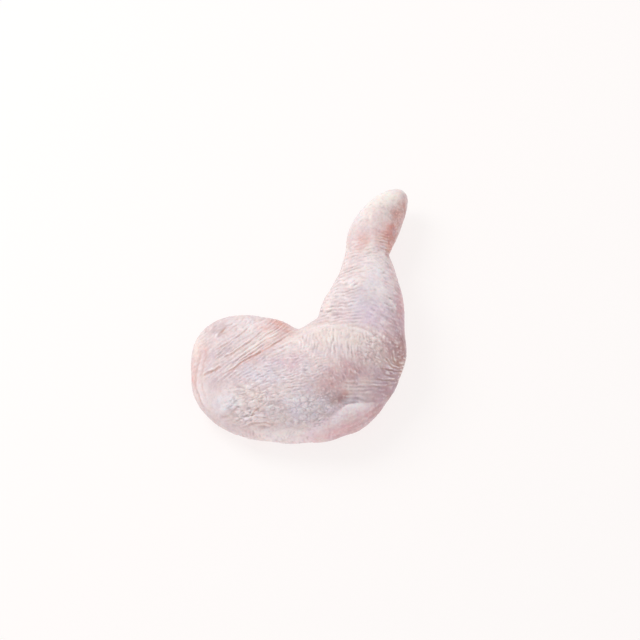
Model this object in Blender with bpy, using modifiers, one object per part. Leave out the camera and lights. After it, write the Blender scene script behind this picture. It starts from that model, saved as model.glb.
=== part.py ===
"""A raw chicken leg, thigh and drumstick in one piece, lying with its skin side up.

Units are metres, but the tables below are in millimetres. +Z is up, X runs along the
thigh with the knee at +X, and the drumstick points to +Y. The origin lies under the
middle of the leg, on the surface that it rests on.

The leg is modelled as flesh under a skin. Its limbs are strings of flattened balls. The
skin is pulled smoothly over them, sags flat where it rests, and then takes its folds,
bulges and dimples.
"""

import math
from collections import namedtuple

import bmesh
import bpy
import numpy as np

MM = 0.001

# A ball's place, its radius in plan, and how far it rises above and drops below z.
Ball = namedtuple("Ball", "x y z radius rise drop")

THIGH = (
    Ball(-26.5, -51, 11.5, 39, 23, 15),
    Ball(-17, -57, 12.5, 38, 26.5, 16),
    Ball(11, -58.5, 13.5, 36.5, 30, 17),
    Ball(24, -47.5, 14.5, 35.5, 28, 17),
    Ball(33.5, -37.5, 15, 30.5, 26, 17),
)
HIP_LOBE = (
    Ball(-40, -34.5, 12.5, 24, 19, 15),
    Ball(-22, -39, 12.5, 25.5, 20, 16),
)
DRUMSTICK = (
    Ball(41.5, -35, 19, 23, 20, 19),
    Ball(37.5, -18, 20, 26, 20, 20),
    Ball(39.5, -4, 21, 23.5, 19, 19),
    Ball(41, 13.5, 20, 18, 16, 15),
    Ball(41, 31.5, 19, 13, 12.5, 12.5),
    Ball(43, 44.5, 18, 14.2, 12.5, 12.5),
    Ball(48.5, 57, 17, 13.7, 13, 13),
    Ball(54, 67.4, 16, 11.2, 11.5, 11.5),
    Ball(58.8, 73.8, 16, 7.4, 8.5, 8.5),
)
STEPS_PER_GAP = 5

# How wide the skin bridges the hollow between two limbs, and the edge of the flat rest.
HIP_BRIDGE = 8.0
KNEE_BRIDGE = 3.5
REST_ROUNDING = 3.0

# Folds and bulges are drawn as seen looking down at this angle from the thigh's side:
# "across" is x, and "up" runs from the thigh to the tip of the drumstick.
LOOK_DOWN = math.radians(58)

# A fold is a furrow along a path, with a lip on the path's left side.
Fold = namedtuple("Fold", "width depth lip path")
# A bulge is long in the direction of its turn, in degrees, and a negative one is a dimple.
Bulge = namedtuple("Bulge", "across up long wide turn height")

FOLDS = {
    "end_of_thigh_skin": Fold(
        2.5, 1.1, 0.8, ((55.5, -23), (49.5, -14.5), (43, -8.5), (32.5, -5.5), (20, -3), (9.5, -5), (0, -8))
    ),
    "hip_fold": Fold(1.8, 1.1, 0.7, ((-48.5, -36.5), (-36, -28), (-25.5, -21), (-14.5, -15), (-4, -9))),
    "hip_wrinkle": Fold(1.4, 0.8, 0.3, ((-37, -24), (-29.5, -18.5), (-23, -14.5), (-13.5, -9.5))),
    "rim_wrinkle": Fold(1.5, 0.8, 0.3, ((-58, -35.5), (-51.5, -32), (-46, -28.5))),
    "bent_fold": Fold(1.6, 1, 0.3, ((-47.5, -61), (-42, -57.5), (-38, -54.5), (-36, -48.5), (-36.5, -38))),
    "rim": Fold(1.7, 0.9, 0, ((-58, -14.5), (-61.5, -26.5), (-62.5, -37), (-60, -46.5), (-52.5, -57))),
    "lobe_fold": Fold(
        2.5, 1.6, -0.3, ((5.5, -59), (14.5, -54.5), (22, -51.5), (30.5, -50), (38, -51), (46.5, -50.5), (57, -47))
    ),
    "knee_wrinkle_1": Fold(1.3, 1, 0.5, ((54.5, -22.5), (59, -28.5), (66.5, -28.5))),
    "knee_wrinkle_2": Fold(1.3, 1, 0.5, ((47.5, -32.5), (54.5, -31.5), (58, -32.5), (66.5, -33.5))),
    "knee_wrinkle_3": Fold(1.3, 0.9, 0.4, ((45, -37.5), (52.5, -37.5), (63, -38))),
    "knuckle_groove": Fold(3, 0.8, 0, ((58, 75.5), (55.5, 64), (52.5, 57.5), (50, 49.5))),
    "neck_wrinkle": Fold(1.5, 0.8, 0, ((58, 42), (51.5, 40.5), (46, 41))),
}
BULGES = {
    "dimple": Bulge(26, -47.5, 3.4, 2.9, 0, -1.7),
    "hollow_above_dimple": Bulge(30.5, -41.5, 14, 9, -10, -1.5),
    "lower_lobe": Bulge(32, -61.5, 19, 6.5, 25, 1.7),
    "hip_bone": Bulge(-44, -48.5, 7.6, 8.6, 0, 1),
    "knuckle": Bulge(50.5, 63.5, 4.8, 3.8, 40, 0.6),
}

# Soft flesh is never quite even: slow waves through it, of seeded direction and phase.
WAVES = 6
WAVE_HEIGHT = 0.16
WAVE_LENGTHS = (16, 30)
WAVE_SEED = 4

# The relief fades out between these heights above the floor.
FADE = (2, 8)

NET_SIZE = 1.9
PULLS = 5
RELAXINGS = 6
TRIANGLES = 11600
SNAP_TO_FLOOR = 0.05

SKIN_COLOUR = (0.70, 0.53, 0.52, 1)
SKIN_ROUGHNESS = 0.42


def curve_through(stations, per_gap=STEPS_PER_GAP):
    """Rows of numbers along a smooth Catmull-Rom curve through the stations."""
    rows = np.array(stations, float)
    padded = np.vstack([2 * rows[0] - rows[1], rows, 2 * rows[-1] - rows[-2]])
    curve = []
    for before, start, end, after in zip(padded, padded[1:], padded[2:], padded[3:]):
        for t in np.arange(per_gap) / per_gap:
            curve.append(
                start
                + 0.5 * t * (end - before)
                + t**2 * (before - 2.5 * start + 2 * end - 0.5 * after)
                + t**3 * (1.5 * (start - end) + 0.5 * (after - before))
            )
    return curve + [rows[-1]]


LIMBS = {
    "thigh": [Ball(*row) for row in curve_through(THIGH)],
    "hip_lobe": [Ball(*row) for row in curve_through(HIP_LOBE)],
    "drumstick": [Ball(*row) for row in curve_through(DRUMSTICK)],
}


def smooth_step(value, start, end):
    share = np.clip((value - start) / (end - start), 0, 1)
    return share * share * (3 - 2 * share)


def distance_to_ball(points, ball):
    """About how far each point lies outside a flattened ball."""
    x, y, z = (points - (ball.x, ball.y, ball.z)).T
    height = np.where(z > 0, ball.rise, ball.drop)
    level = (x * x + y * y) / ball.radius**2
    upright = (z / height) ** 2
    size = np.sqrt(level + upright)
    slope = np.sqrt(level / ball.radius**2 + upright / height**2) + 1e-9
    return size * (size - 1) / slope


def distance_to_limb(points, balls):
    return np.min([distance_to_ball(points, ball) for ball in balls], axis=0)


def bridged(first, second, reach):
    """The lower of two distances, rounded where they are within reach of each other."""
    share = np.clip(0.5 + 0.5 * (second - first) / reach, 0, 1)
    return second + (first - second) * share - reach * share * (1 - share)


def distance_to_skin(points):
    """Distance to the smooth skin, which is flat where it rests on the floor, z = 0."""
    thigh = distance_to_limb(points, LIMBS["thigh"])
    hip_lobe = distance_to_limb(points, LIMBS["hip_lobe"])
    drumstick = distance_to_limb(points, LIMBS["drumstick"])
    leg = bridged(bridged(thigh, hip_lobe, HIP_BRIDGE), drumstick, KNEE_BRIDGE)
    return -bridged(-leg, points[:, 2], REST_ROUNDING)


def slope_of_skin(points, step=0.05):
    """The gradient of the distance, which points out of the skin."""
    return np.stack(
        [
            (distance_to_skin(points + d) - distance_to_skin(points - d)) / (2 * step)
            for d in step * np.eye(3)
        ],
        axis=1,
    )


def pulled_onto_skin(points, pulls):
    for _ in range(pulls):
        slope = slope_of_skin(points)
        steepness = np.maximum((slope**2).sum(axis=1), 0.05)
        step = distance_to_skin(points) / steepness
        points = points - np.clip(step, -3, 3)[:, None] * slope
    return points


def beside_path(across, up, path):
    """The distance to a path, positive on its left, and the share of the way along it."""
    corners = curve_through(path)
    nearest = np.full(len(across), np.inf)
    side = np.zeros(len(across))
    along = np.zeros(len(across))
    for index, (start, end) in enumerate(zip(corners, corners[1:])):
        run = end - start
        x = across - start[0]
        y = up - start[1]
        share = np.clip((x * run[0] + y * run[1]) / (run @ run), 0, 1)
        distance = np.hypot(x - share * run[0], y - share * run[1])
        closer = distance < nearest
        nearest = np.where(closer, distance, nearest)
        side = np.where(closer, np.sign(run[0] * y - run[1] * x), side)
        along = np.where(closer, (index + share) / (len(corners) - 1), along)
    return nearest * side, along


def furrow(across, up, fold):
    beside, along = beside_path(across, up, fold.path)
    taper = smooth_step(np.minimum(along, 1 - along), 0, 0.25)
    cut = fold.depth * np.exp(-((beside / fold.width) ** 2))
    lip = fold.lip * np.exp(-((beside / fold.width - 2) / 1.3) ** 2)
    return taper * (lip - cut)


def swelling(across, up, bulge):
    turn = math.radians(bulge.turn)
    x = across - bulge.across
    y = up - bulge.up
    long = (x * math.cos(turn) + y * math.sin(turn)) / bulge.long
    wide = (y * math.cos(turn) - x * math.sin(turn)) / bulge.wide
    return bulge.height * np.exp(-(long**2) - wide**2)


def relief(points, normals):
    """How far the folds and bulges lift the skin, on the side that the viewer sees."""
    viewer = np.array([0, -math.cos(LOOK_DOWN), math.sin(LOOK_DOWN)])
    across = points[:, 0]
    up = points[:, 1] * math.sin(LOOK_DOWN) + points[:, 2] * math.cos(LOOK_DOWN)
    lift = sum(furrow(across, up, fold) for fold in FOLDS.values())
    lift += sum(swelling(across, up, bulge) for bulge in BULGES.values())
    return lift * smooth_step(normals @ viewer, -0.1, 0.2)


def unevenness(points):
    draw = np.random.default_rng(WAVE_SEED)
    lift = np.zeros(len(points))
    for length in np.linspace(*WAVE_LENGTHS, WAVES):
        direction = draw.normal(size=3)
        direction /= np.linalg.norm(direction)
        phase = draw.uniform(0, 2 * math.pi)
        lift += WAVE_HEIGHT * np.sin(2 * math.pi * (points @ direction) / length + phase)
    return lift


def changed_by(mesh, modifier_type, **settings):
    """A new mesh: the old one as a modifier leaves it."""
    carrier = bpy.data.objects.new("carrier", mesh)
    bpy.context.scene.collection.objects.link(carrier)
    modifier = carrier.modifiers.new("change", modifier_type)
    for name, value in settings.items():
        setattr(modifier, name, value)
    graph = bpy.context.evaluated_depsgraph_get()
    changed = bpy.data.meshes.new_from_object(carrier.evaluated_get(graph))
    bpy.data.objects.remove(carrier)
    return changed


def wrapping_net(balls):
    """An even, closed net of quads round all the balls, in millimetres."""
    shells = bmesh.new()
    for ball in balls:
        made = bmesh.ops.create_uvsphere(shells, u_segments=32, v_segments=20, radius=1)
        for vert in made["verts"]:
            height = ball.rise if vert.co.z > 0 else ball.drop
            vert.co.x = ball.x + ball.radius * vert.co.x
            vert.co.y = ball.y + ball.radius * vert.co.y
            vert.co.z = max(ball.z + height * vert.co.z, 0)
    mesh = bpy.data.meshes.new("net")
    shells.to_mesh(mesh)
    shells.free()
    return changed_by(mesh, "REMESH", mode="VOXEL", voxel_size=NET_SIZE)


def places_of(mesh):
    places = np.empty(len(mesh.vertices) * 3)
    mesh.vertices.foreach_get("co", places)
    return places.reshape(-1, 3)


def move_vertices(mesh, places):
    mesh.vertices.foreach_set("co", places.ravel())
    mesh.update()


def relaxed(points, edges):
    """Each point moved halfway to the middle of its neighbours."""
    total = np.zeros_like(points)
    count = np.zeros(len(points))
    for near, far in (edges.T, edges.T[::-1]):
        np.add.at(total, near, points[far])
        np.add.at(count, near, 1)
    return 0.5 * (points + total / count[:, None])


def skin_over_limbs(net):
    """The net drawn evenly over the limbs, with its folds, bulges and unevenness."""
    edges = np.empty(len(net.edges) * 2, int)
    net.edges.foreach_get("vertices", edges)
    edges = edges.reshape(-1, 2)
    points = pulled_onto_skin(places_of(net), PULLS)
    for _ in range(RELAXINGS):
        points = pulled_onto_skin(relaxed(points, edges), 1)
    normals = slope_of_skin(points)
    normals /= np.linalg.norm(normals, axis=1)[:, None]
    lift = relief(points, normals) + unevenness(points)
    lift *= smooth_step(points[:, 2], *FADE)
    return points + lift[:, None] * normals


def settled(points):
    """The points centred over the origin, with those near the floor exactly on it."""
    middle = (points.min(axis=0) + points.max(axis=0)) / 2
    points = points - (middle[0], middle[1], 0)
    points[points[:, 2] < SNAP_TO_FLOOR, 2] = 0
    return points


def make_leg_mesh():
    net = wrapping_net([ball for limb in LIMBS.values() for ball in limb])
    move_vertices(net, skin_over_limbs(net))
    share_kept = TRIANGLES / (2 * len(net.polygons))
    mesh = changed_by(net, "DECIMATE", ratio=share_kept, use_collapse_triangulate=True)
    move_vertices(mesh, settled(places_of(mesh)) * MM)
    mesh.name = "chicken_leg"
    mesh.shade_smooth()
    return mesh


def make_skin_material():
    skin = bpy.data.materials.new("raw_skin")
    skin.use_nodes = True
    shader = skin.node_tree.nodes["Principled BSDF"]
    shader.inputs["Base Color"].default_value = SKIN_COLOUR
    shader.inputs["Roughness"].default_value = SKIN_ROUGHNESS
    shader.inputs["Metallic"].default_value = 0
    return skin


def main():
    for obj in list(bpy.data.objects):
        bpy.data.objects.remove(obj)
    parts = bpy.data.collections.new("chicken_leg")
    bpy.context.scene.collection.children.link(parts)
    leg = bpy.data.objects.new("chicken_leg", make_leg_mesh())
    leg.data.materials.append(make_skin_material())
    parts.objects.link(leg)


main()
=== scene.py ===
"""Looks of a raw chicken leg: its skin in full detail, and a plain studio round it."""

import math
from collections import namedtuple

import bpy
import numpy as np
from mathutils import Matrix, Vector


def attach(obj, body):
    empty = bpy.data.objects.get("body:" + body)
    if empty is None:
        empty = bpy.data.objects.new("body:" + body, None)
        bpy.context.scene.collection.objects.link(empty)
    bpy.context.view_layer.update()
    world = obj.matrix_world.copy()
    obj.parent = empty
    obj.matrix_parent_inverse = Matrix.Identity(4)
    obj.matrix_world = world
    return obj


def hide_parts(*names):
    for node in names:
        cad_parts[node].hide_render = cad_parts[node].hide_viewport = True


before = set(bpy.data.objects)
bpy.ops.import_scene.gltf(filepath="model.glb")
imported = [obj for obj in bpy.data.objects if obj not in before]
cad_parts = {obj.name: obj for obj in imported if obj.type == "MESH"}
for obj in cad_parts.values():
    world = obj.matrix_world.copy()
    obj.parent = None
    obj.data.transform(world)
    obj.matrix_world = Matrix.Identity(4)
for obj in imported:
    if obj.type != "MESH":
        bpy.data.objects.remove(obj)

# The photograph: its size, what one of its pixels spans, the pixel that shows the model's origin, and how
# steeply its camera looks down.
PHOTO_PIXELS = 640
MM_PER_PIXEL = 0.61
ORIGIN_PIXEL = (300.56, 327.07)
LOOK_DOWN = math.radians(58)

# The camera stands so many metres off that it sees almost no perspective. Its sensor is in millimetres.
CAMERA_DISTANCE = 3.0
SENSOR_WIDTH = 36.0

# The skin's mesh. Its net is finer than the wrinkles, and relaxing it rounds off the solid's facets.
NET_SIZE_MM = 0.44
RELAXINGS = 18
NORMAL_RELAXINGS = 4
RELAXING_PULL = 0.6
TRIANGLES = 198000

# The resting face stays flat: points this low keep their height, and relief fades in between the other two
# heights. They are in millimetres.
RESTING_HEIGHT = 0.3
RELIEF_FADE = (0.6, 3.0)

# What the photograph shows fades in between these two values of how squarely the skin faces the camera, as
# a cosine. Where it faces away, the skin is plain.
FACING_FADE = (-0.15, 0.25)

# Folds and tints stray from where they are drawn: each step of that noise has a size and a strength, in
# millimetres.
FOLD_WANDER = ((6, 0.5), (2.5, 0.25))
TINT_WANDER = ((9, 2.2), (3.5, 1.0))

# Seeds of the noise that the folds, the ledge and the tints stray by, and of the folds' uneven strength.
FOLD_SEED = 11
FOLD_STRENGTH_SEED = 15
LEDGE_SEED = 16
TINT_WANDER_SEED = 41

# Fine grain all over the skin: its size and its height in millimetres, and its seed.
GRAIN = ((1.2, 0.11, 8), (2.2, 0.1, 9))

# Factors that mix bits, as in a hash function, and what brings noise to about -1 to 1.
CELL_FACTORS = (73856093, 19349663, 83492791)
SEED_FACTOR = 2654435761
MIXING_ROUNDS = ((16, 0x45D9F3B), (15, 0x45D9F3B), (16, 1))
WORD = 0xFFFFFFFF
NOISE_GAIN = 1.5

# A fold is a crease along a path of pixels, with a lip of skin on its left; sizes are in millimetres.
Fold = namedtuple("Fold", "width depth lip path")
FOLDS = {
    "hip_fold": Fold(0.46, 0.38, 0.42, ((219, 378), (232, 369.5), (240, 363.5), (248, 358.5), (259, 352.5),
                                        (268, 347.8), (280, 341), (292, 332.5))),
    "upper_hip_fold": Fold(0.42, 0.2, 0.3, ((226, 369), (241, 357.5), (250.5, 350.5), (262, 342.5),
                                             (275, 336), (286, 329))),
    "flap_wrinkle_1": Fold(0.4, 0.24, 0.22, ((214, 351), (228, 343.5), (240, 335), (252, 326))),
    "flap_wrinkle_2": Fold(0.4, 0.24, 0.22, ((220, 361), (233, 353), (245, 345), (258, 335), (266, 328))),
    "flap_wrinkle_3": Fold(0.4, 0.2, 0.2, ((256, 345), (266, 336), (276, 329))),
    "flap_wrinkle_4": Fold(0.4, 0.17, 0.22, ((236, 364), (250, 354.5), (263, 345.5), (277, 338))),
    "rim_wrinkle": Fold(0.55, 0.34, 0.3, ((204, 376), (210, 372), (217, 368.5), (224, 365))),
    "nick": Fold(0.5, 0.42, 0.08, ((219, 336.5), (221.5, 333.8), (224, 331), (226, 328.5), (228, 325.5))),
    "bent_fold": Fold(0.8, 0.12, 0.14, ((221, 413), (226, 415), (233, 412.5), (238, 407), (240.5, 399))),
    "rim": Fold(0.7, 0.16, 0.14, ((208, 342), (202, 356), (199, 368), (197.5, 378), (199, 390),
                                  (204, 402), (214, 414))),
    "inner_rim": Fold(0.6, 0.1, 0.08, ((210, 352), (206, 362), (204, 374), (205, 388), (210, 400))),
    "knee_wrinkle_1": Fold(0.42, 0.34, 0.3, ((390.5, 351), (392.5, 359), (397, 363.5), (408, 364.5))),
    "knee_wrinkle_2": Fold(0.4, 0.3, 0.3, ((383, 355), (387, 362), (392, 366.5), (399, 367.5),
                                           (408, 367.5))),
    "knee_wrinkle_3": Fold(0.4, 0.3, 0.3, ((377, 367), (386, 368.5), (394, 370.3), (405, 370.6))),
    "knee_wrinkle_4": Fold(0.4, 0.3, 0.25, ((380, 371.5), (390, 374.3), (403, 373.7))),
    "knee_wrinkle_5": Fold(0.45, 0.26, 0.22, ((372, 378), (386, 379), (399, 378))),
    "knee_wrinkle_6": Fold(0.45, 0.2, 0.15, ((368, 384), (382, 385.5), (394, 383.5))),
    "crest": Fold(0.86, 0.07, 0.26, ((389, 351), (385, 344), (379, 338), (368, 330.5), (354, 325.5),
                                     (333, 322), (316, 324.5), (300, 330))),
    "neck_wrinkle_1": Fold(0.4, 0.2, 0.14, ((376, 237.5), (384, 236.5), (392, 240))),
    "neck_wrinkle_2": Fold(0.4, 0.22, 0.14, ((377, 243), (385, 242.5), (392, 246))),
    "neck_wrinkle_3": Fold(0.5, 0.3, 0.14, ((378, 248), (386, 250), (394, 255))),
    "thigh_line": Fold(0.42, 0.2, 0.12, ((284, 386.5), (293, 385.6), (301, 385))),
    "diagonal_line": Fold(0.45, 0.3, 0.1, ((252, 417), (256.5, 409.5), (261, 405))),
    "low_wrinkle_1": Fold(0.45, 0.14, 0.2, ((240, 427), (251, 422.6), (258, 420.5), (268, 421),
                                             (278, 425))),
    "low_wrinkle_2": Fold(0.45, 0.13, 0.18, ((243, 421), (254, 416.5), (262, 415), (274, 418))),
    "low_wrinkle_3": Fold(0.45, 0.13, 0.18, ((233, 422), (243, 416), (252, 412))),
    "hollow_wrinkle_1": Fold(0.55, 0.16, 0.1, ((334, 373), (341, 378.8), (349, 381.5), (360, 381))),
    "hollow_wrinkle_2": Fold(0.55, 0.14, 0.1, ((346, 368), (353, 373), (362, 375))),
    "streak_1": Fold(0.5, 0.1, 0.2, ((270, 358), (281, 351.5), (292, 347))),
    "streak_2": Fold(0.5, 0.1, 0.2, ((272, 351.5), (283, 346), (296, 341))),
}

# A fold as deep as this, in millimetres, shows its crease's warm painted shade in full.
DEEP_FOLD = 0.42

# A fold fades out over this share of its length at either end, and ends this many of its widths aside.
FOLD_TAPER = 0.22
FOLD_REACH = 5

# How sharply a crease ends, where 2 would be a bell curve; a lip's width in widths of its fold, how many
# lip widths off it stands, and how high the lip on the right is against the one on the left.
CREASE_EDGE = 1.6
LIP_WIDTH = 1.1
LIP_PLACE = 1.7
RIGHT_LIP = 0.4

# The smooth lobe at the bottom begins at a ledge: skin below its path stands proud, a hollow lies above.
# Sizes are in millimetres.
LEDGE_PATH = ((304, 432), (316, 425), (327, 417.5), (337, 409), (346, 403.5), (356, 400.8), (368, 400.8),
              (384, 397))
LEDGE_RISE = 0.5
LEDGE_HOLLOW = 0.25
LEDGE_REACH = 16
CROWN_WIDTH = 5
HOLLOW_WIDTH = 3

# A patch is an ellipse of pixels: its centre, its half sizes, its turn in degrees, and its strength.
Patch = namedtuple("Patch", "centre half turn strength", defaults=(1,))

# How sharply patches of wrinkles and of tints end: 2 would be a bell curve.
WRINKLE_PATCH_EDGE = 3
TINT_PATCH_EDGE = 2.2

# Wrinkles run at an angle in degrees over a patch, or in arcs round the knee where the angle is None.
# Spacing, length and height are in millimetres. Evenness goes from 0 for broken ridges to 1 for neat
# rows, and is None for pebbles.
Wrinkles = namedtuple("Wrinkles", "patch angle spacing length height evenness")
WRINKLES = {
    "flap": Wrinkles(Patch((252, 346), (44, 22), 32), 35, 2.0, 14, 0.34, 0.55),
    "flap_top": Wrinkles(Patch((232, 332), (40, 18), 4), 38, 2.0, 5, 0.33, 0.35),
    "flap_side": Wrinkles(Patch((208, 358), (15, 24), -10), 45, 2.4, 5, 0.24, 0.2),
    "calf_upper": Wrinkles(Patch((344, 277), (15, 22), -18), 20, 2.0, 6, 0.54, 0.5),
    "calf_lower": Wrinkles(Patch((338, 308), (22, 20), -10), 5, 2.2, 6, 0.44, 0.45),
    "calf_middle": Wrinkles(Patch((371, 285), (13, 26), 5), 10, 2.2, 4, 0.18, 0.2),
    "calf_right": Wrinkles(Patch((386, 306), (17, 46), -5), -30, 2.4, 5, 0.36, 0.3),
    "middle": Wrinkles(Patch((292, 366), (46, 20), -5), 12, 1.8, 3.4, 0.36, 0.4),
    "under_knee": Wrinkles(Patch((368, 389), (26, 11), 10), -3, 2.4, 8, 0.32, 0.5),
    "bottom": Wrinkles(Patch((300, 434), (70, 8), 0), 88, 2.2, 4, 0.16, 0.3),
    "neck": Wrinkles(Patch((362, 254), (20, 15), 0), 14, 2.0, 5, 0.36, 0.35),
    "neck_right": Wrinkles(Patch((384, 243), (10, 12), 0), -5, 1.8, 6, 0.36, 0.5),
    "knob_right": Wrinkles(Patch((395, 218), (7, 20), -15), 40, 1.9, 2.2, 0.34, None),
    "knob": Wrinkles(Patch((378, 216), (24, 18), 40), 60, 2.6, 3.5, 0.12, 0.1),
    "pebbles": Wrinkles(Patch((312, 406), (42, 20), 4), 8, 2.4, 3, 0.33, None),
    "rumples": Wrinkles(Patch((259, 402), (28, 21), 10), 12, 2.8, 5.6, 0.47, None),
    "lobe": Wrinkles(Patch((355, 420), (34, 14), 25), 25, 3.0, 10, 0.1, 0.5),
    "crescent": Wrinkles(Patch((334, 345), (36, 18), -4), 88, 2.2, 6, 0.36, 0.32),
    "crescent_right": Wrinkles(Patch((374, 350), (17, 17), -20), 100, 3.0, 3.6, 0.56, None),
    "mauve": Wrinkles(Patch((342, 374), (24, 13), 10), 112, 2.1, 3.4, 0.36, 0.3),
    "knee": Wrinkles(Patch((393, 366), (15, 18), 0), None, 2.7, 7, 0.5, 0.35),
}

# Seeds count up from here, one for each row above.
WRINKLE_SEED = 100

# Where patches of wrinkles meet they blend by weight, and smooth skin has the first weight everywhere. Where
# the weights come to less than the second, wrinkles fade out, and under the third a patch has none.
SMOOTH_WEIGHT = 0.2
THIN_WEIGHT = 0.8
NO_WEIGHT = 0.01

# The arcs round the knee: their middle, how much flatter than circles they are, and the radius in
# millimetres at which the lengths along them are true.
KNEE_PIXEL = (405, 348)
KNEE_FLATTENING = 1.35
KNEE_RADIUS = 22

# Sides that the photograph doesn't show have plain pebbles.
PLAIN_SKIN = Wrinkles(None, None, 2.3, 3.2, 0.22, None)
PLAIN_SEED = 7

# Follicles are small bumps in diagonal rows: clear in these patches, and faint elsewhere. Their spacing and
# height are in millimetres, and their size in spacings.
FOLLICLE_PATCHES = (Patch((384, 305), (17, 44), -5, 0.9), Patch((388, 340), (13, 14), 0, 0.9))
FOLLICLE_SPACING = 2.6
FOLLICLE_SIZE = 0.3
FOLLICLE_HEIGHT = 0.18
FOLLICLE_ROWS_TURN = math.radians(-32)
FOLLICLE_SEED = 31
FAINT_FOLLICLES = 0.1
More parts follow.
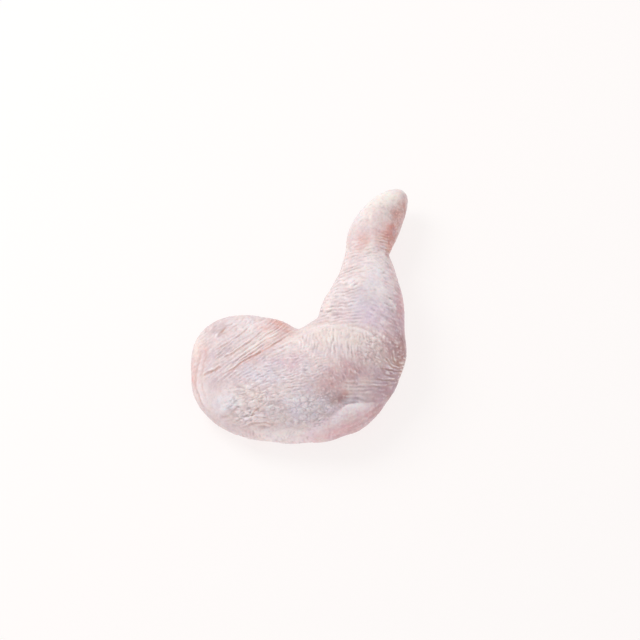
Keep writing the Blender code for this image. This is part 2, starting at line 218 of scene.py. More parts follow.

# Tints of the skin in sRGB, among them painted shade and painted highlights. Each lies over those before it,
# and lists its patches from the top down.
BASE_TINT = (226, 207, 208)
Tint = namedtuple("Tint", "colour patches")
TINTS = {
    # Painted shade in grey: mostly on the flap, below its fold, and at the foot of the lobe.
    "painted_grey_shade": Tint((204, 182, 184), (
        Patch((361, 266), (7, 5), 0, 0.8), Patch((352, 268), (5, 8), -20, 0.3),
        Patch((338, 311), (6, 9), -20, 0.9), Patch((315, 320), (9, 6), 0, 0.9),
        Patch((218, 328), (12, 7), 10, 0.9), Patch((368, 328), (10, 5), -20, 0.4),
        Patch((384, 350), (16, 14), 0, 0.45), Patch((228, 351), (20, 9), 10, 0.95),
        Patch((260, 357), (11, 4), 34, 0.6), Patch((250, 365), (15, 5), 30, 0.9),
        Patch((243, 366), (11, 4), 22, 0.6), Patch((230, 374), (22, 8), 8, 1.0),
        Patch((241, 378), (12, 5), 0, 0.6), Patch((326, 380), (9, 10), 0, 0.4),
        Patch((220, 383), (15, 5), -5, 0.7), Patch((326, 391), (11, 8), 0, 0.8),
        Patch((246, 393), (7, 5), 0, 0.4), Patch((240, 409), (8, 5), 0, 0.7),
        Patch((324, 412), (12, 5), 32, 0.5), Patch((366, 420), (24, 5), 37, 0.9))),
    # Violet: on the calf and across the middle of the thigh.
    "lilac": Tint((226, 206, 226), (
        Patch((381, 287), (9, 8), 0, 0.6), Patch((372, 300), (8, 10), 0, 0.5),
        Patch((366, 312), (18, 14), 0, 0.8), Patch((386, 322), (12, 16), 0, 0.8),
        Patch((280, 361), (18, 6), -5, 0.5), Patch((292, 363), (11, 8), 0, 0.6))),
    # Blue-grey, where muscle shows through: on the calf and across the thigh.
    "sky": Tint((216, 209, 222), (
        Patch((364, 298), (9, 12), 0, 0.8), Patch((262, 374), (24, 9), -8, 0.75),
        Patch((302, 388), (12, 9), 0, 0.4), Patch((324, 402), (13, 8), 15, 0.8),
        Patch((304, 408), (22, 12), 8, 0.8))),
    # Light fat with painted light over it: strongest on the knob, the upper calf, the flap and the bottom
    # edge.
    "pale": Tint((251, 238, 238), (
        Patch((392, 194), (14, 8), 10, 1.0), Patch((376, 199), (24, 11), 45, 1.0),
        Patch((384, 219), (6, 6), 0, 0.4), Patch((378, 228), (6, 6), 0, 0.5),
        Patch((372, 240), (5, 13), -5, 0.9), Patch((373, 269), (15, 19), -5, 1.0),
        Patch((357, 281), (9, 6), 0, 0.7), Patch((380, 288), (9, 12), -8, 0.8),
        Patch((326, 306), (5, 10), -20, 0.5), Patch((248, 326), (14, 9), 0, 0.95),
        Patch((262, 330), (12, 7), 0, 0.5), Patch((342, 335), (24, 9), -5, 0.5),
        Patch((237, 336), (7, 5), 0, 0.4), Patch((250, 338), (8, 6), 0, 0.4),
        Patch((267, 342), (19, 4.5), 33, 0.8), Patch((294, 342), (20, 7), 22, 0.7),
        Patch((350, 347), (7, 6), 0, 0.8), Patch((312, 348), (10, 7), 0, 0.7),
        Patch((281, 355), (7, 5), 0, 0.4), Patch((316, 358), (10, 12), 0, 0.4),
        Patch((251, 383), (10, 6), 0, 0.5), Patch((354, 383), (10, 5), 0, 0.5),
        Patch((340, 385), (9, 3), 0, 0.3), Patch((276, 386), (12, 10), 0, 0.6),
        Patch((204, 388), (6, 12), 0, 0.5), Patch((232, 390), (8, 6), 0, 0.25),
        Patch((231, 400), (10, 8), 0, 0.8), Patch((292, 400), (9, 4), 10, 0.5),
        Patch((252, 413), (11, 5), -10, 0.9), Patch((264, 427), (12, 6), 0, 0.9),
        Patch((320, 428), (10, 5), 10, 0.5), Patch((284, 434), (46, 8), 0, 1.0))),
    # Yellowish fat: on the knob, along the calf's left side, over the knee, on the flap and below it.
    "cream": Tint((246, 232, 224), (
        Patch((370, 208), (24, 13), 50, 0.8), Patch((385, 212), (9, 8), 0, 0.5),
        Patch((346, 262), (6, 16), -14, 0.4), Patch((330, 300), (8, 22), -28, 0.5),
        Patch((335, 334), (38, 11), -6, 0.75), Patch((295, 340), (12, 8), 20, 0.6),
        Patch((368, 341), (12, 10), -20, 0.6), Patch((261, 342), (18, 5), 35, 0.8),
        Patch((199, 345), (6, 14), -20, 0.7), Patch((346, 347), (8, 7), 0, 0.3),
        Patch((380, 350), (8, 6), 0, 0.5), Patch((250, 392), (12, 12), 0, 0.5))),
    # Reddish grey, partly painted shade: mostly in the hollow of the thigh and round the knee.
    "mauve": Tint((205, 162, 166), (
        Patch((377, 212), (5, 4), 0, 0.2), Patch((392, 322), (8, 10), 0, 0.5),
        Patch((394, 340), (7, 9), 0, 0.5), Patch((390, 350), (14, 18), 0, 0.6),
        Patch((370, 358), (18, 12), 0, 0.4), Patch((294, 362), (11, 6), 0, 0.6),
        Patch((390, 368), (14, 10), 0, 0.7), Patch((348, 372), (24, 11), 5, 0.9),
        Patch((331, 383), (12, 11), 20, 0.9), Patch((366, 386), (18, 7), 0, 0.2),
        Patch((382, 395), (14, 9), 25, 0.6))),
    # Painted shade in violet: under the knee, along the right edge, and thin elsewhere.
    "painted_violet_shade": Tint((182, 148, 164), (
        Patch((373, 318), (8, 7), 0, 0.15), Patch((400, 318), (6, 30), 0, 0.7),
        Patch((366, 331), (8, 5), 0, 0.15), Patch((260, 358), (11, 4), 34, 0.3),
        Patch((300, 360), (7, 6), 0, 0.2), Patch((217, 361), (6, 5), 0, 0.2),
        Patch((243, 366), (11, 4), 22, 0.4), Patch((292, 366), (10, 9), 0, 0.25),
        Patch((389, 374), (11, 8), 0, 1.0), Patch((241, 377), (12, 6), 0, 0.25),
        Patch((377, 377), (9, 7), 0, 0.6), Patch((394, 385), (7, 8), 0, 0.9),
        Patch((263, 387), (8, 5), 0, 0.2), Patch((385, 387), (17, 13), 20, 0.95),
        Patch((327, 391), (9, 7), 0, 0.25), Patch((250, 396), (6, 5), 0, 0.15),
        Patch((391, 398), (7, 13), 30, 0.7), Patch((378, 400), (8, 7), 0, 0.9),
        Patch((240, 410), (8, 5), 0, 0.25))),
    # Painted highlight in light violet: on the crown of the lobe.
    "painted_violet_highlight": Tint((243, 217, 234), (
        Patch((356, 405), (20, 5), 6, 0.9), Patch((318, 426), (16, 4.5), 32, 0.7))),
    # Pink: mostly on the lobe and at the neck, and down the right edge as painted shade.
    "rose": Tint((229, 170, 177), (
        Patch((382, 239), (6, 9), 0, 0.7), Patch((393, 268), (4, 14), -15, 0.5),
        Patch((396, 291), (5, 10), 0, 0.5), Patch((401, 300), (5, 40), 3, 0.7),
        Patch((388, 333), (8, 9), 0, 0.3), Patch((356, 378), (12, 5), 0, 0.15),
        Patch((374, 409), (8, 6), 45, 0.5), Patch((222, 410), (6, 5), 0, 0.2),
        Patch((356, 412), (16, 7), 38, 0.6), Patch((366, 414), (15, 6), 42, 0.7),
        Patch((345, 427), (29, 9), 24, 0.7), Patch((328, 431), (15, 7), 14, 0.7),
        Patch((252, 432), (11, 4), -15, 0.3), Patch((340, 434), (13, 5), 18, 0.5),
        Patch((312, 438), (18, 4), 6, 0.5))),
    # Painted shade in deep pink: in the dimple, round the knee's edge, in the neck's crease, and thin
    # elsewhere.
    "painted_deep_pink_shade": Tint((158, 98, 102), (
        Patch((388.5, 252), (3, 7), -15, 0.8), Patch((397, 291), (4, 9), 0, 0.15),
        Patch((400, 317), (4, 9), 0, 0.15), Patch((382, 341), (8, 5), 0, 0.2),
        Patch((396, 342), (6, 8), 0, 0.5), Patch((401, 346), (12, 18), 0, 0.8),
        Patch((403, 362), (8, 12), 0, 1.0), Patch((390, 369), (7, 6), 0, 0.25),
        Patch((401, 370), (9, 6), 0, 0.9), Patch((397, 381), (8, 9), 0, 0.65),
        Patch((342, 397), (12, 4.8), 8, 0.9), Patch((390, 399), (8, 12), 30, 0.6),
        Patch((374, 400), (9, 6), 0, 0.25), Patch((376, 408), (12, 5), 46, 0.4),
        Patch((366, 415), (14, 6), 45, 0.3), Patch((358, 424), (15, 4), 34, 0.25),
        Patch((350, 428), (8, 4), 30, 0.35), Patch((340, 434), (14, 5), 18, 0.3))),
    # Orange-pink: mostly on the neck, the knob's right, the flap's tip, the fold, the rim and the dimple.
    "salmon": Tint((228, 160, 148), (
        Patch((398, 193), (6, 5), 0, 0.15), Patch((404, 202), (3.5, 8), 0, 0.7),
        Patch((398, 214), (6, 9), -10, 0.6), Patch((389, 233), (6.5, 11), -15, 0.9),
        Patch((377, 238), (8, 9), 0, 0.3), Patch((391, 240), (4, 9), -20, 0.7),
        Patch((364, 243), (10, 8), 0, 0.6), Patch((282, 324), (13, 6), -25, 1.0),
        Patch((266, 326), (9, 7), -10, 0.45), Patch((289, 336), (7, 5), 0, 0.25),
        Patch((280, 337), (10, 6), 30, 0.35), Patch((204, 353), (6, 9), 0, 0.4),
        Patch((256, 354), (24, 3.2), 34, 0.5), Patch((346, 366), (7, 7), 0, 0.25),
        Patch((195, 372), (6, 20), 0, 0.35), Patch((192, 381), (4, 5), 0, 1.0),
        Patch((345, 391), (5, 4.5), 0, 0.6), Patch((262, 421), (13, 5), -5, 0.15))),
    # Painted shade, dark and warm: mostly down the right of the knob and neck, and at the knee's edge.
    "painted_brown_shade": Tint((182, 112, 96), (
        Patch((404, 208), (3, 12), 0, 0.8), Patch((397, 216), (5, 7), -20, 0.45),
        Patch((400, 223), (4, 10), -15, 0.6), Patch((394, 238), (4, 9), -20, 0.7),
        Patch((390, 250), (4, 7), -20, 1.0), Patch((394, 344), (6, 6), 0, 0.2),
        Patch((402, 361), (7, 14), 0, 0.3), Patch((400, 369), (7, 5), 0, 0.7),
        Patch((371, 410), (7, 5), 40, 0.15))),
    # Red-orange: at the neck, and thin on the flap's tip.
    "ember": Tint((206, 96, 66), (
        Patch((391, 231), (5, 8), -22, 0.75), Patch((389, 247), (4, 6), 0, 0.75),
        Patch((284, 326), (9, 5), -25, 0.25))),
    # Painted cool highlights: mostly on the calf, across the thigh and on the lobe's crown.
    "painted_cool_highlight": Tint((242, 239, 246), (
        Patch((361, 213), (14, 4), 50, 0.4), Patch((374, 274), (12, 14), 0, 0.5),
        Patch((351, 285), (7, 6), 0, 0.4), Patch((337, 294), (7, 16), -30, 0.25),
        Patch((384, 299), (6, 8), 0, 0.35), Patch((353, 302), (7, 9), -10, 0.6),
        Patch((306, 366), (5, 11), 0, 0.4), Patch((357, 377), (7, 4), 0, 0.2),
        Patch((296, 397), (11, 6), 8, 0.5), Patch((228, 401), (16, 10), 0, 0.95),
        Patch((354, 401), (12, 4), 5, 0.6), Patch((270, 408), (8, 5), 0, 0.35),
        Patch((302, 411), (9, 6), 0, 0.4), Patch((250, 413), (7, 5), 0, 0.3),
        Patch((353, 413), (8, 5), 20, 0.3))),
    # Painted warm highlights: on the tip of the knob, at the neck and where the lobe begins.
    "painted_warm_highlight": Tint((255, 246, 238), (
        Patch((396, 192), (6, 5), 0, 0.9), Patch((387, 196), (15, 8), 25, 1.0),
        Patch((381, 240), (5, 5), 0, 0.4), Patch((371, 250), (6, 7), 0, 0.75),
        Patch((318, 428), (7, 4), 0, 0.4))),
    # Painted warm light where the knob runs into the neck.
    "peach": Tint((255, 196, 180), (
        Patch((399, 222), (4, 6), 0, 0.3), Patch((387, 224), (6, 6), 0, 0.35))),
}

# Seeds count up from here, one for each tint.
TINT_SEED = 60

# The ledge's crown has a painted highlight of its own, and the hollow above it a painted shade.
CROWN_PAINTED_HIGHLIGHT = 0.9
HOLLOW_PAINTED_SHADE = 0.35

# Sides that the photograph doesn't show have clouds of these tints, each at its strength. The clouds' size
# is in millimetres.
UNSEEN_TINTS = {"cream": 0.7, "lilac": 0.6, "pale": 0.6, "mauve": 0.4, "rose": 0.6, "salmon": 0.3}
CLOUD_SIZE = 16
CLOUD_SEED = 80

# Warm painted shade in the creases of the folds.
FOLD_SHADE_TINT = (216, 168, 146)
FOLD_SHADE_STRENGTH = 0.6

# Crests get painted highlight and creases painted shade, in full at this height or depth in millimetres.
FULL_RELIEF = 0.35
CREST_HIGHLIGHT_TINT = (255, 247, 248)
CREST_HIGHLIGHT_STRENGTH = 0.7
CREASE_SHADE_TINT = (168, 150, 153)
CREASE_SHADE_STRENGTH = 0.68
FOLLICLE_TINT = (250, 240, 238)
FOLLICLE_STRENGTH = 0.35

# Mottling all over the skin: its size in millimetres, its strength, and its tint.
BLOTCHES = ((7, 0.16, (222, 186, 186)), (8, 0.14, (244, 228, 206)), (6, 0.14, (208, 194, 222)))

# Raw skin lets some light through and has a thin wet film. Its roughness varies from place to place, and
# fine pores roughen it. The sizes of both are in millimetres.
SKIN_SURFACE = {"Subsurface Weight": 0.2, "Subsurface Radius": (1.0, 0.4, 0.3), "Subsurface Scale": 0.001,
                "Coat Weight": 0.2, "Coat Roughness": 0.2}
SKIN_ROUGHNESS = (0.32, 0.5)
DULLNESS_SIZE = 3
PORE_SIZE = 1.1
PORE_BUMP = {"Strength": 0.45, "Distance": 0.0004}

# The studio: a pale floor that glows a little, light from all round, and a soft box up on the left, behind
# the leg. Sizes and places are in metres, and the soft box's power is in watts.
FLOOR_SIZE = 8
FLOOR_SURFACE = {"Base Color": (0.25, 0.245, 0.242, 1), "Roughness": 0.9,
                 "Emission Color": (1, 0.965, 0.955, 1), "Emission Strength": 0.75}
ALL_ROUND_LIGHT = {"Color": (1, 0.99, 0.985, 1), "Strength": 0.71}
KEY_PLACE = (-0.65, 0.4, 0.8)
KEY_TARGET = (0, 0, 0.02)
KEY_SIZE = 0.6
KEY_POWER = 4.6


def random_numbers(cells, seed):
    """One number from 0 to 1 for each row of whole numbers, always the same one."""
    bits = (cells * np.array(CELL_FACTORS)).sum(axis=1) + seed * SEED_FACTOR
    bits = bits & WORD
    for shift, factor in MIXING_ROUNDS:
        bits = ((bits ^ (bits >> shift)) * factor) & WORD
    return bits / (WORD + 1)


def random_directions(cells, seed):
    """A unit vector for each row of whole numbers."""
    turn = 2 * math.pi * random_numbers(cells, seed)
    height = 2 * random_numbers(cells, seed + 1) - 1
    level = np.sqrt(1 - height**2)
    return np.stack([level * np.cos(turn), level * np.sin(turn), height], axis=1)


def noise(points, seed):
    """Smooth gradient noise, about -1 to 1, with one cell for each unit of length."""
    cells = np.floor(points).astype(np.int64)
    within = points - cells
    ease = within**3 * (within * (within * 6 - 15) + 10)
    total = np.zeros(len(points))
    for corner in np.ndindex(2, 2, 2):
        offset = np.array(corner)
        slope = (random_directions(cells + offset, seed) * (within - offset)).sum(axis=1)
        total += np.prod(np.where(offset, ease, 1 - ease), axis=1) * slope
    return NOISE_GAIN * total


def wander(points, steps, seed):
    """How far each point strays across and up: the sum of one noise for each step's size and strength."""
    return [sum(strength * noise(points / size, seed + 2 * index + axis)
                for index, (size, strength) in enumerate(steps)) for axis in range(2)]


def smooth_step(value, start, end):
    """0 before start, 1 after end, and an even blend between them."""
    share = np.clip((value - start) / (end - start), 0, 1)
    return share * share * (3 - 2 * share)


def to_millimetres(pixel):
    """A pixel's place on the drawing plane, which faces the camera through the origin."""
    across = (pixel[0] - ORIGIN_PIXEL[0]) * MM_PER_PIXEL
    up = (ORIGIN_PIXEL[1] - pixel[1]) * MM_PER_PIXEL
    return np.array([across, up])


def on_drawing_plane(points):
    """How far each point is across, up and behind the drawing plane."""
    up = points[:, 1] * math.sin(LOOK_DOWN) + points[:, 2] * math.cos(LOOK_DOWN)
    behind = points[:, 1] * math.cos(LOOK_DOWN) - points[:, 2] * math.sin(LOOK_DOWN)
    return points[:, 0], up, behind


def curve_through(stations, per_gap=5):
    """Points along a smooth curve through the stations."""
    rows = np.array(stations, float)
    padded = np.vstack([2 * rows[0] - rows[1], rows, 2 * rows[-1] - rows[-2]])
    curve = []
    for before, start, end, after in zip(padded, padded[1:], padded[2:], padded[3:]):
        for share in np.arange(per_gap) / per_gap:
            curve.append(start + 0.5 * share * (end - before)
                         + share**2 * (before - 2.5 * start + 2 * end - 0.5 * after)
                         + share**3 * (1.5 * (start - end) + 0.5 * (after - before)))
    return np.array(curve + [rows[-1]])


def beside_path(across, up, path, reach):
    """The points near a path, how far left of it they lie, and how far along it, from 0 to 1."""
    corners = curve_through([to_millimetres(pixel) for pixel in path])
    low = corners.min(axis=0) - reach
    high = corners.max(axis=0) + reach
    near = np.flatnonzero((across > low[0]) & (across < high[0]) & (up > low[1]) & (up < high[1]))
    nearest = np.full(len(near), np.inf)
    side = np.zeros(len(near))
    along = np.zeros(len(near))
    for index, (start, end) in enumerate(zip(corners, corners[1:])):
        run = end - start
        ahead = across[near] - start[0]
        above = up[near] - start[1]
        share = np.clip((ahead * run[0] + above * run[1]) / (run @ run), 0, 1)
        distance = np.hypot(ahead - share * run[0], above - share * run[1])
        closer = distance < nearest
        nearest = np.where(closer, distance, nearest)
        side = np.where(closer, np.sign(run[0] * above - run[1] * ahead), side)
        along = np.where(closer, (index + share) / (len(corners) - 1), along)
    return near, nearest * side, along


def patch_weight(across, up, patch, edge):
    """A patch's strength in its middle, fading to 0 outside it; a higher edge number makes a harder edge."""
    middle = to_millimetres(patch.centre)
    turn = math.radians(patch.turn)
    along = (across - middle[0]) * math.cos(turn) + (up - middle[1]) * math.sin(turn)
    aside = (up - middle[1]) * math.cos(turn) - (across - middle[0]) * math.sin(turn)
    length, width = (half * MM_PER_PIXEL for half in patch.half)
    return patch.strength * np.exp(-(((along / length) ** 2 + (aside / width) ** 2) ** (edge / 2)))


def fold_relief(points):
    """Height of the named folds, which wander a little, and how deep in a crease each point lies, 0 to 1."""
    across, up, _ = on_drawing_plane(points)
    stray_across, stray_up = wander(points, FOLD_WANDER, FOLD_SEED)
    strength = 1 + 0.5 * noise(points / 5, FOLD_STRENGTH_SEED)
    height = np.zeros(len(points))
    depth = np.zeros(len(points))
    for fold in FOLDS.values():
        near, beside, along = beside_path(across + stray_across, up + stray_up, fold.path,
                                          FOLD_REACH * fold.width)
        taper = smooth_step(np.minimum(along, 1 - along), 0, FOLD_TAPER)
        place = beside / fold.width
        crease = fold.depth * np.exp(-np.abs(place) ** CREASE_EDGE)
        left_lip = np.exp(-((place / LIP_WIDTH - LIP_PLACE) ** 2))
        right_lip = np.exp(-((place / LIP_WIDTH + LIP_PLACE) ** 2))
        lips = fold.lip * (left_lip + RIGHT_LIP * right_lip)
        height[near] += taper * strength[near] * (lips - crease)
        depth[near] = np.maximum(depth[near], taper * crease / DEEP_FOLD)
    return height, np.minimum(depth, 1)


def ledge_shares(points):
    """How much of the ledge's crown, and of the hollow above it, each point is in, from 0 to 1."""
    across, up, _ = on_drawing_plane(points)
    stray = 0.5 * noise(points / 5, LEDGE_SEED)
    near, beside, along = beside_path(across, up + stray, LEDGE_PATH, LEDGE_REACH)
    taper = smooth_step(along, 0, 0.5) * smooth_step(1 - along, 0, 0.3)
    # The ledge begins soft and is crisp from its middle on.
    softness = 3.5 - 2.5 * smooth_step(along, 0.25, 0.55)
    crown = np.zeros(len(points))
    crown[near] = taper * smooth_step(-beside / softness, -0.5, 1.0) * np.exp(-((beside / CROWN_WIDTH) ** 2))
    hollow = np.zeros(len(points))
    hollow[near] = taper / softness * smooth_step(beside, -0.6, 0.6) * np.exp(-((beside / HOLLOW_WIDTH) ** 2))
    return crown, hollow


def wrinkle_pattern(over, along, behind, wrinkles, seed):
    """Ridges that fade, fork and wander, from about -1 to 1: even rows mixed with broken ones."""
    # One unit of place is the ridges' spacing across them and a wrinkle's length along them.
    place = np.stack([over / wrinkles.spacing, along / wrinkles.length, behind / wrinkles.length], axis=1)
    stray = 0.3 * noise(place * (0.5, 2, 2), seed) + 0.9 * noise(place * (0.15, 0.5, 0.5), seed + 50)
    rows = np.sin(2 * math.pi * (place[:, 0] + stray))
    broken = noise((place + 0.4 * stray[:, None] * (1, 0, 0)) * (1.7, 1.2, 1.2), seed + 70)
    strength = 0.8 + 0.9 * noise(place * (0.4, 1, 1), seed + 90)
    return strength * (wrinkles.evenness * rows + 1.8 * (1 - wrinkles.evenness) * broken)


def cell_distances(places, jitter, seed):
    """How far each place is from the nearest and the second nearest of points strewn one to a cell."""
    cells = np.floor(places).astype(np.int64)
    nearest = np.full(len(places), 9.0)
    second = np.full(len(places), 9.0)
    for offset in np.ndindex(3, 3, 3):
        cell = cells + np.array(offset) - 1
        strewn = np.stack([random_numbers(cell, seed + axis) for axis in range(3)], axis=1)
        distance = np.linalg.norm(places - cell - 0.5 - jitter * (strewn - 0.5), axis=1)
        second = np.minimum(second, np.maximum(nearest, distance))
        nearest = np.minimum(nearest, distance)
    return nearest, second


def pebble_pattern(over, along, behind, wrinkles, seed):
    """Crumpled skin, from about -1 to 1: uneven pebbles parted by narrow creases that wind about."""
    # One unit of place is a pebble's width across and its length along.
    place = np.stack([over / wrinkles.spacing, along / wrinkles.length, behind / wrinkles.length], axis=1)
    bend = np.stack([noise(place * 0.9, seed + axis) for axis in (10, 20, 30)], axis=1)
    nearest, second = cell_distances(place + 0.8 * bend, 0.95, seed)
    pebbles = 0.9 * smooth_step(second - nearest, 0, 0.4) - 0.5
    creases = 1 - 1.5 * np.exp(-((noise(place * (1.1, 0.7, 0.7), seed + 60) / 0.16) ** 2))
    strength = 0.9 + 0.5 * noise(place / 2.5, seed + 90)
    return strength * (pebbles + 0.45 * creases + 0.6 * noise(place * 1.9, seed + 95) - 0.25)


def wrinkle_relief(points):
    """Height of the fine wrinkles: each patch has its own direction, and they blend where they meet."""
    across, up, behind = on_drawing_plane(points)
    hub = to_millimetres(KNEE_PIXEL)
    ahead = across - hub[0]
    above = (up - hub[1]) * KNEE_FLATTENING
    total = np.zeros(len(points))
    weights = np.full(len(points), SMOOTH_WEIGHT)
    for seed, wrinkles in enumerate(WRINKLES.values(), WRINKLE_SEED):
        weight = patch_weight(across, up, wrinkles.patch, WRINKLE_PATCH_EDGE)
        weights += weight
        near = weight > NO_WEIGHT
        if wrinkles.angle is None:
            over = np.hypot(ahead, above)[near]
            along = KNEE_RADIUS * np.arctan2(above, ahead)[near]
        else:
            angle = math.radians(wrinkles.angle)
            over = (up * math.cos(angle) - across * math.sin(angle))[near]
            along = (across * math.cos(angle) + up * math.sin(angle))[near]
        pattern = pebble_pattern if wrinkles.evenness is None else wrinkle_pattern
        ridges = pattern(over, along, behind[near], wrinkles, seed)
        total[near] += weight[near] * wrinkles.height * ridges
    return total / np.maximum(weights, THIN_WEIGHT)


def follicle_pattern(points):
    """1 on each clear follicle's bump and 0 between them; the bumps stand in uneven diagonal rows."""
    cosine = math.cos(FOLLICLE_ROWS_TURN)
    sine = math.sin(FOLLICLE_ROWS_TURN)
    rows = np.array([[cosine, -sine, 0], [sine, cosine, 0], [0, 0, 1]])
    nearest, _ = cell_distances(points @ rows / FOLLICLE_SPACING, 0.5, FOLLICLE_SEED)
    across, up, _ = on_drawing_plane(points)
    clear = [patch_weight(across, up, patch, WRINKLE_PATCH_EDGE) for patch in FOLLICLE_PATCHES]
    return np.exp(-((nearest / FOLLICLE_SIZE) ** 2)) * (FAINT_FOLLICLES + np.max(clear, axis=0))


def skin_relief(points, drawn, facing):
    """Height of all the relief in millimetres: the drawn forms, plain pebbles on unseen sides, and grain."""
    turned = facing < 1
    plain = np.zeros(len(points))
    plain[turned] = PLAIN_SKIN.height * pebble_pattern(*points[turned].T, PLAIN_SKIN, PLAIN_SEED)
    grain = sum(height * noise(points / size, seed) for size, height, seed in GRAIN)
    return drawn * facing + plain * (1 - facing) + grain


def tint_masks(points):
    """How strongly each tint shows at each point."""
    across, up, _ = on_drawing_plane(points)
    stray_across, stray_up = wander(points, TINT_WANDER, TINT_WANDER_SEED)
    masks = {}
    for seed, (name, tint) in enumerate(TINTS.items(), TINT_SEED):
        weights = [patch_weight(across + stray_across, up + stray_up, patch, TINT_PATCH_EDGE)
                   for patch in tint.patches]
        masks[name] = np.clip(np.max(weights, axis=0) * (0.9 + 0.5 * noise(points / 4, seed)), 0, 1)
    return masks


def changed_by(mesh, kind, **settings):
    """The mesh after one modifier."""
    holder = bpy.data.objects.new("holder", mesh)
    bpy.context.scene.collection.objects.link(holder)
    modifier = holder.modifiers.new("change", kind)
    for name, value in settings.items():
        setattr(modifier, name, value)
    changed = bpy.data.meshes.new_from_object(holder.evaluated_get(bpy.context.evaluated_depsgraph_get()))
    bpy.data.objects.remove(holder)
    bpy.data.meshes.remove(mesh)
    return changed


def read_points(mesh):
    """A mesh's points in millimetres."""
    places = np.empty(len(mesh.vertices) * 3)
    mesh.vertices.foreach_get("co", places)
    return places.reshape(-1, 3) * 1000


def write_points(mesh, points):
    """Moves a mesh's points to places in millimetres."""
    mesh.vertices.foreach_set("co", (points / 1000).ravel())
    mesh.update()


def read_normals(mesh):
    """The directions that a mesh's points face."""
    normals = np.empty(len(mesh.vertices) * 3, dtype=np.float32)
    mesh.vertex_normals.foreach_get("vector", normals)
    return normals.reshape(-1, 3).astype(float)


def relaxed(mesh, values, rounds):
    """Values of a mesh's points, each pulled towards the average of its neighbours'."""
    edges = np.empty(len(mesh.edges) * 2, dtype=np.int64)
    mesh.edges.foreach_get("vertices", edges)
    ends = edges.reshape(-1, 2)
    start = np.concatenate([ends[:, 0], ends[:, 1]])
    end = np.concatenate([ends[:, 1], ends[:, 0]])
    count = np.bincount(start, minlength=len(values))
    for _ in range(rounds):
        sums = [np.bincount(start, values[end, axis], len(values)) for axis in range(values.shape[1])]
        values = (1 - RELAXING_PULL) * values + RELAXING_PULL * np.stack(sums, axis=1) / count[:, None]
    return values


def store(mesh, name, values):
    """Keeps one number for each point of the mesh, for the material to read."""
    attribute = mesh.attributes.new(name, "FLOAT", "POINT")
    attribute.data.foreach_set("value", values.astype(np.float32))


def make_skin_mesh(node):
    """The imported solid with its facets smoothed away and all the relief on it."""
    mesh = node.data.copy()
    mesh.materials.clear()
    mesh = changed_by(mesh, "REMESH", mode="VOXEL", voxel_size=NET_SIZE_MM / 1000)
    points = read_points(mesh)
    smoothed = relaxed(mesh, points, RELAXINGS)
    resting = points[:, 2] < RESTING_HEIGHT
    smoothed[resting, 2] = points[resting, 2]
    write_points(mesh, smoothed)
    normals = relaxed(mesh, read_normals(mesh), NORMAL_RELAXINGS)
    normals /= np.linalg.norm(normals, axis=1)[:, None]
    to_camera = np.array([0, -math.cos(LOOK_DOWN), math.sin(LOOK_DOWN)])
    facing = smooth_step(normals @ to_camera, *FACING_FADE)
    folds, depth = fold_relief(smoothed)
    crown, hollow = ledge_shares(smoothed)
    drawn = folds + wrinkle_relief(smoothed) + LEDGE_RISE * crown - LEDGE_HOLLOW * hollow
    follicles = follicle_pattern(smoothed)
    fade = smooth_step(smoothed[:, 2], *RELIEF_FADE)
    height = (skin_relief(smoothed, drawn, facing) + FOLLICLE_HEIGHT * follicles) * fade
    placed = smoothed + normals * height[:, None]
    placed[:, 2] = np.maximum(placed[:, 2], 0)
    write_points(mesh, placed)
    store(mesh, "relief", height)
    # How strongly each point gets the folds' warm painted shade.
    store(mesh, "fold_shade", FOLD_SHADE_STRENGTH * depth * facing)
    store(mesh, "follicle", follicles)
    masks = tint_masks(smoothed)
    # Painted highlight on the ledge's crown, and painted shade in the hollow above it.
    masks["painted_violet_highlight"] = np.maximum(masks["painted_violet_highlight"], CROWN_PAINTED_HIGHLIGHT * crown)
    masks["painted_violet_shade"] = np.maximum(masks["painted_violet_shade"], HOLLOW_PAINTED_SHADE * hollow)
    for seed, (name, mask) in enumerate(masks.items(), CLOUD_SEED):
        cloud = UNSEEN_TINTS.get(name, 0) * smooth_step(noise(smoothed / CLOUD_SIZE, seed), 0, 0.6)
        store(mesh, name, mask * facing + cloud * (1 - facing))
    mesh = changed_by(mesh, "TRIANGULATE")
    mesh = changed_by(mesh, "DECIMATE", ratio=TRIANGLES / len(mesh.polygons))
    mesh.shade_smooth()
    return mesh


def linear(colour):
    """An sRGB colour of 0 to 255 as linear red, green, blue and alpha."""
    parts = [value / 255 for value in colour]
    return [part / 12.92 if part < 0.04045 else ((part + 0.055) / 1.055) ** 2.4 for part in parts] + [1]


def add_node(tree, kind, **settings):
    """A new shader node with its settings."""
    node = tree.nodes.new(kind)
    for name, value in settings.items():
        setattr(node, name, value)
    return node


def set_inputs(node, values):
    """Sets a shader node's inputs by name."""
    for name, value in values.items():
        node.inputs[name].default_value = value


def read_attribute(tree, name):
    """One of the numbers that the mesh keeps for each of its points."""
    return add_node(tree, "ShaderNodeAttribute", attribute_name=name).outputs["Fac"]


def mixed(tree, factor, first, second):
    """A mix of two colours. Each may be a socket or a plain colour."""
    mix = add_node(tree, "ShaderNodeMix", data_type="RGBA")
    tree.links.new(factor, mix.inputs["Factor"])
    for name, colour in (("A", first), ("B", second)):
        socket = next(entry for entry in mix.inputs if entry.name == name and entry.type == "RGBA")
        if isinstance(colour, bpy.types.NodeSocket):
            tree.links.new(colour, socket)
        else:
            socket.default_value = colour
    return next(entry for entry in mix.outputs if entry.type == "RGBA")


def in_range(tree, value, low, high, to_low=0.0, to_high=1.0):
    """A value moved from one range to another and kept in it."""
    scale = add_node(tree, "ShaderNodeMapRange", clamp=True)
    set_inputs(scale, {"From Min": low, "From Max": high, "To Min": to_low, "To Max": to_high})
    tree.links.new(value, scale.inputs["Value"])
    return scale.outputs["Result"]


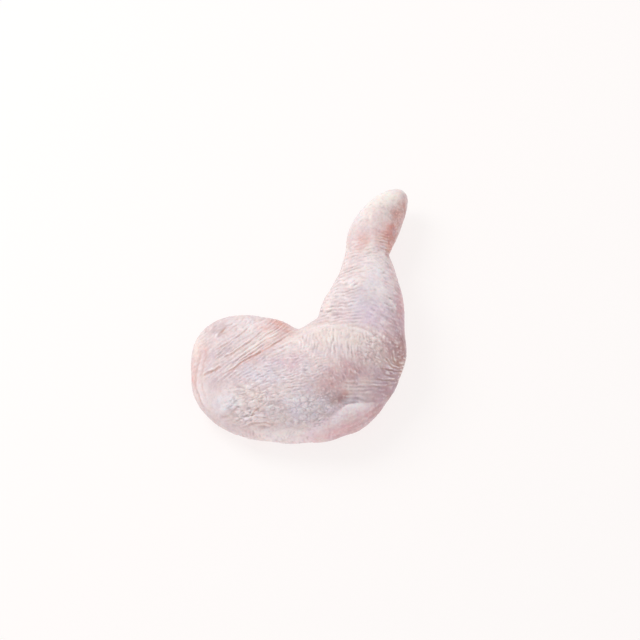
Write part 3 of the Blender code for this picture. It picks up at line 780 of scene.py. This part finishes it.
def noise_value(tree, size, detail=3.0):
    """Noise on the object's own coordinates, with features of a size in millimetres."""
    texture = add_node(tree, "ShaderNodeTexNoise")
    set_inputs(texture, {"Scale": 1000 / size, "Detail": detail})
    place = add_node(tree, "ShaderNodeTexCoord")
    tree.links.new(place.outputs["Object"], texture.inputs["Vector"])
    return texture.outputs["Fac"]


def make_skin_colour(tree):
    """The skin's colour: tints with painted shade and highlights, painted highlight on crests and painted
    shade in creases and folds, follicles and mottling.
    """
    colour = linear(BASE_TINT)
    # Among these tints are painted shade and painted highlights.
    for name, tint in TINTS.items():
        colour = mixed(tree, read_attribute(tree, name), colour, linear(tint.colour))
    relief = read_attribute(tree, "relief")
    # Painted highlight on crests and painted shade in creases, by the relief's height.
    crest = in_range(tree, relief, 0.0, FULL_RELIEF, 0.0, CREST_HIGHLIGHT_STRENGTH)
    colour = mixed(tree, crest, colour, linear(CREST_HIGHLIGHT_TINT))
    crease = in_range(tree, relief, 0.0, -FULL_RELIEF, 0.0, CREASE_SHADE_STRENGTH)
    colour = mixed(tree, crease, colour, linear(CREASE_SHADE_TINT))
    # Warm painted shade in the folds' creases.
    colour = mixed(tree, read_attribute(tree, "fold_shade"), colour, linear(FOLD_SHADE_TINT))
    follicle = read_attribute(tree, "follicle")
    follicle = in_range(tree, follicle, FAINT_FOLLICLES, 1.0, 0.0, FOLLICLE_STRENGTH)
    colour = mixed(tree, follicle, colour, linear(FOLLICLE_TINT))
    for size, strength, tint in BLOTCHES:
        blotch = in_range(tree, noise_value(tree, size, 1.0), 0.48, 0.7, 0.0, strength)
        colour = mixed(tree, blotch, colour, linear(tint))
    return colour


def make_skin_material():
    """Raw skin: its colour, light passing through it, fine pores and a wet film."""
    material = bpy.data.materials.new("raw_skin")
    material.use_nodes = True
    tree = material.node_tree
    skin = tree.nodes["Principled BSDF"]
    set_inputs(skin, SKIN_SURFACE)
    tree.links.new(make_skin_colour(tree), skin.inputs["Base Color"])
    roughness = in_range(tree, noise_value(tree, DULLNESS_SIZE), 0.3, 0.7, *SKIN_ROUGHNESS)
    tree.links.new(roughness, skin.inputs["Roughness"])
    bump = add_node(tree, "ShaderNodeBump")
    set_inputs(bump, PORE_BUMP)
    tree.links.new(noise_value(tree, PORE_SIZE), bump.inputs["Height"])
    tree.links.new(bump.outputs["Normal"], skin.inputs["Normal"])
    return material


def make_leg():
    """The dressed leg, in place of the plain solid."""
    leg = bpy.data.objects.new("leg_skin", make_skin_mesh(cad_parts["chicken_leg"]))
    bpy.context.scene.collection.objects.link(leg)
    leg.data.materials.append(make_skin_material())
    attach(leg, "root")
    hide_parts("chicken_leg")


def make_floor():
    """A wide pale floor."""
    bpy.ops.mesh.primitive_plane_add(size=FLOOR_SIZE)
    floor = bpy.context.object
    floor.name = "floor"
    material = bpy.data.materials.new("pale_floor")
    material.use_nodes = True
    set_inputs(material.node_tree.nodes["Principled BSDF"], FLOOR_SURFACE)
    floor.data.materials.append(material)


def aimed(item, place, target):
    """Puts a camera or a lamp at a place and turns it to a target."""
    item.location = place
    item.rotation_euler = (Vector(target) - Vector(place)).to_track_quat("-Z", "Y").to_euler()
    bpy.context.scene.collection.objects.link(item)


def make_camera():
    """The photograph's camera, which looks down along +Y."""
    picture_middle = (PHOTO_PIXELS / 2, PHOTO_PIXELS / 2)
    across, up = to_millimetres(picture_middle) / 1000
    target = Vector((across, up / math.sin(LOOK_DOWN), 0))
    back = Vector((0, -math.cos(LOOK_DOWN), math.sin(LOOK_DOWN)))
    data = bpy.data.cameras.new("camera")
    data.sensor_width = SENSOR_WIDTH
    data.lens = SENSOR_WIDTH * CAMERA_DISTANCE / (PHOTO_PIXELS * MM_PER_PIXEL / 1000)
    camera = bpy.data.objects.new("camera", data)
    aimed(camera, target + back * CAMERA_DISTANCE, target)
    bpy.context.scene.camera = camera


def make_studio():
    """Even light from all round, and one large square soft box."""
    world = bpy.data.worlds.new("studio")
    bpy.context.scene.world = world
    world.use_nodes = True
    set_inputs(world.node_tree.nodes["Background"], ALL_ROUND_LIGHT)
    data = bpy.data.lights.new("key", "AREA")
    data.size = KEY_SIZE
    data.energy = KEY_POWER
    aimed(bpy.data.objects.new("key", data), KEY_PLACE, KEY_TARGET)
    bpy.context.scene.view_settings.view_transform = "Standard"


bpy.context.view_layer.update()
make_camera()
make_studio()
make_floor()
make_leg()
